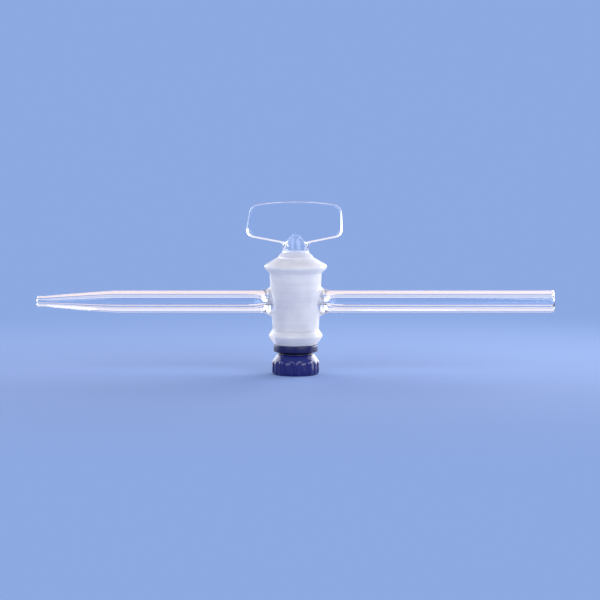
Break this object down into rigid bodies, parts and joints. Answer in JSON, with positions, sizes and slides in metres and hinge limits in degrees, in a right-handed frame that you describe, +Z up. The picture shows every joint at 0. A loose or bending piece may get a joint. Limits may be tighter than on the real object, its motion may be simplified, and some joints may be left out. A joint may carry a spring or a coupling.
{
  "type": "glass stopcock",
  "caption": "Glass stopcock with a turning ground key, a straight inlet arm, a drawn jet and a screwed plastic key retainer.",
  "frame": {"origin": "centre of the retaining nut's flat foot, on the key's axis, so the part stands on the floor at z 0", "axes": "+Z up along the key's axis to its grip, +X along the straight inlet arm, -X along the arm that ends in the jet"},
  "size_m": [0.183, 0.0222, 0.0613],
  "materials": {
    "barrel_glass": "clear fire-polished borosilicate glass with a white ground bore",
    "key_glass": "clear pressed glass grip on a white ground taper",
    "retainer_plastic": "glossy dark violet-blue moulded plastic",
    "collar_plastic": "natural white moulded plastic",
    "ring_rubber": "smooth black rubber"
  },
  "bodies": {
    "barrel": {"barrel": "barrel_glass"},
    "key": {"key": "key_glass", "split_collar": "collar_plastic"},
    "seal_stack": {"thrust_washer": "retainer_plastic", "rubber_ring": "ring_rubber"},
    "nut": {"retaining_nut": "retainer_plastic"}
  },
  "joints": [
    {"name": "key_turn", "type": "hinge", "parent": "barrel", "child": "key", "pos_m": [0, 0, 0.02595], "axis": [0, 0, 1], "continuous": true},
    {"name": "seal_travel", "type": "slide", "parent": "key", "child": "seal_stack", "axis": [0, 0, -1], "range_m": [0, 0.001]},
    {"name": "nut_turn", "type": "hinge", "parent": "seal_stack", "child": "nut", "pos_m": [0, 0, 0], "axis": [0, 0, -1], "range_deg": [0, 360]}
  ],
  "couplings": [
    {"joint": "nut_turn", "follows": "seal_travel", "rad_per_m": 6283.2}
  ]
}
